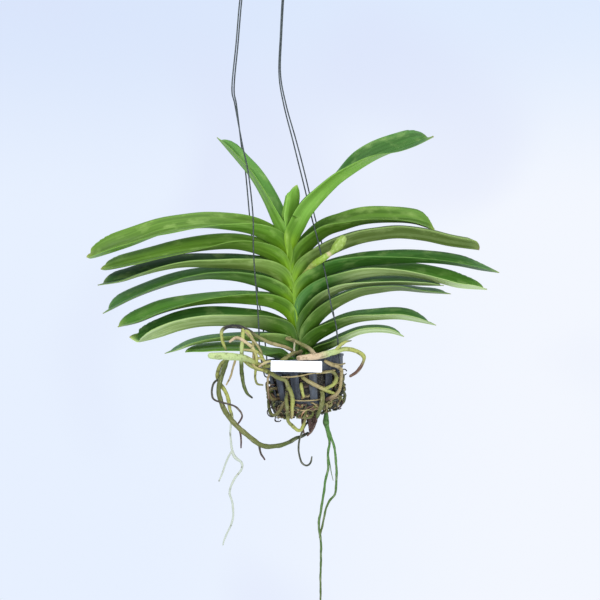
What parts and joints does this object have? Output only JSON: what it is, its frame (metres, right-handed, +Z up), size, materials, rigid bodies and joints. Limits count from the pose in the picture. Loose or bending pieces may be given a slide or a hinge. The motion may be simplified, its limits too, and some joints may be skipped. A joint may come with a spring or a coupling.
{
  "type": "hanging vanda orchid",
  "caption": "Vanda orchid out of flower, with a two-sided fan of strap leaves and long aerial roots, in a small slatted basket on thin hanging wires.",
  "frame": {"origin": "inside top of the hook's eye, where the plant hangs from a rod or nail", "axes": "+Z up along the hanging line, +X along the fan of leaves, -Y towards the side that the plant label faces"},
  "size_m": [0.4752, 0.122, 0.8276],
  "materials": {
    "leaf": "waxy satin",
    "sheath": "waxy satin",
    "bud": "satin",
    "live_root": "matte, greener near the tips",
    "old_root": "dry matte",
    "basket_plastic": "satin",
    "wire": "dull galvanised",
    "label": "smooth, blank"
  },
  "bodies": {
    "root": {"stem": "sheath", "leaf_left_1": "leaf", "leaf_left_2": "leaf", "leaf_left_3": "leaf", "leaf_left_4": "leaf", "leaf_left_5": "leaf", "leaf_left_6": "leaf", "leaf_left_7": "leaf", "leaf_left_8": "leaf", "leaf_left_9": "leaf", "leaf_centre": "leaf", "leaf_right_1": "leaf", "leaf_right_2": "leaf", "leaf_right_3": "leaf", "leaf_right_4": "leaf", "leaf_right_5": "leaf", "leaf_right_6": "leaf", "leaf_right_7": "leaf", "leaf_right_8": "leaf", "leaf_right_9": "leaf", "flower_spike": "bud", "roots_left": "live_root", "root_right_loop": "live_root", "roots_front": "live_root", "root_slot_tip": "live_root", "root_green": "live_root", "root_hooked": "live_root", "root_curled": "live_root", "roots_long": "live_root", "basket": "basket_plastic", "packed_roots": "old_root", "old_stem": "old_root", "wire_front_left": "wire", "wire_back_left": "wire", "wire_front_right": "wire", "wire_back_right": "wire", "hanger_hook": "wire", "plant_label": "label"}
  },
  "joints": []
}
